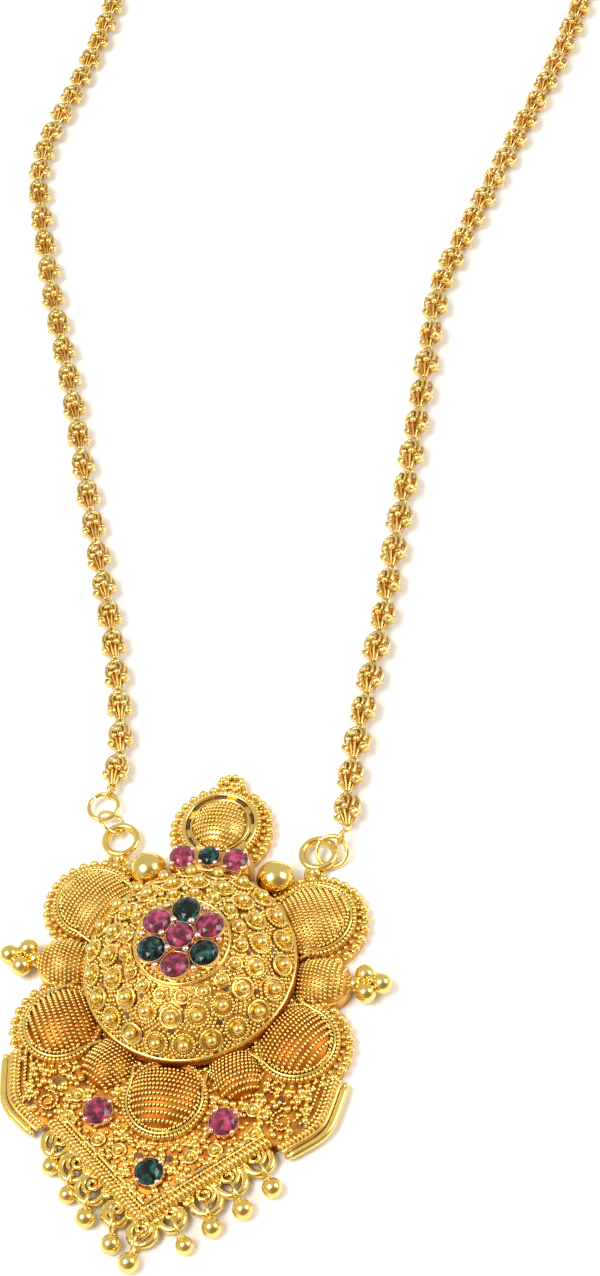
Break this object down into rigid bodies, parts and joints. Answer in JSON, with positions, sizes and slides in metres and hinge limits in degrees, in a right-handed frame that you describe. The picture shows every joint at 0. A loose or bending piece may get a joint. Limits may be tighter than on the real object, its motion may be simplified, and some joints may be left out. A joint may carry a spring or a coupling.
{
  "type": "mangalsutra pendant necklace",
  "caption": "Ornate filigree gold pendant with pink and green round stones on a bead-like link chain that closes in a loop for the neck.",
  "frame": {"origin": "on the axis of the pendant's round centre disc, at its flat back, which lies on the surface", "axes": "+Z out of the pendant's face, +Y from the pendant to the far end of the chain, +X to the right of the pendant as seen from the front"},
  "size_m": [0.0816, 0.3286, 0.0105],
  "materials": {
    "pendant_gold": "polished yellow gold with granulation",
    "pink_stone": "faceted pink stone on foil",
    "green_stone": "faceted dark green stone on foil",
    "drop_gold": "polished yellow gold",
    "ring_gold": "polished yellow gold wire",
    "chain_gold": "polished yellow gold",
    "clasp_gold": "polished yellow gold"
  },
  "bodies": {
    "root": {"pendant": "pendant_gold", "flower_stone_1": "pink_stone", "flower_stone_3": "pink_stone", "flower_stone_5": "pink_stone", "flower_stone_7": "pink_stone", "bar_stone_1": "pink_stone", "bar_stone_3": "pink_stone", "plate_stone_1": "pink_stone", "plate_stone_2": "pink_stone", "flower_stone_2": "green_stone", "flower_stone_4": "green_stone", "flower_stone_6": "green_stone", "bar_stone_2": "green_stone", "plate_stone_3": "green_stone", "drop_1": "drop_gold", "drop_2": "drop_gold", "drop_3": "drop_gold", "drop_4": "drop_gold", "drop_5": "drop_gold", "drop_6": "drop_gold", "drop_7": "drop_gold", "drop_8": "drop_gold", "drop_9": "drop_gold", "ring_left_large": "ring_gold", "ring_left_small": "ring_gold", "ring_right": "ring_gold", "chain_left_1": "chain_gold", "chain_left_2": "chain_gold", "chain_left_3": "chain_gold", "chain_left_4": "chain_gold", "chain_left_5": "chain_gold", "chain_left_6": "chain_gold", "chain_left_7": "chain_gold", "chain_left_8": "chain_gold", "chain_right_1": "chain_gold", "chain_right_2": "chain_gold", "chain_right_3": "chain_gold", "chain_right_4": "chain_gold", "chain_right_5": "chain_gold", "chain_right_6": "chain_gold", "chain_right_7": "chain_gold", "chain_right_8": "chain_gold", "clasp": "clasp_gold"}
  },
  "joints": []
}
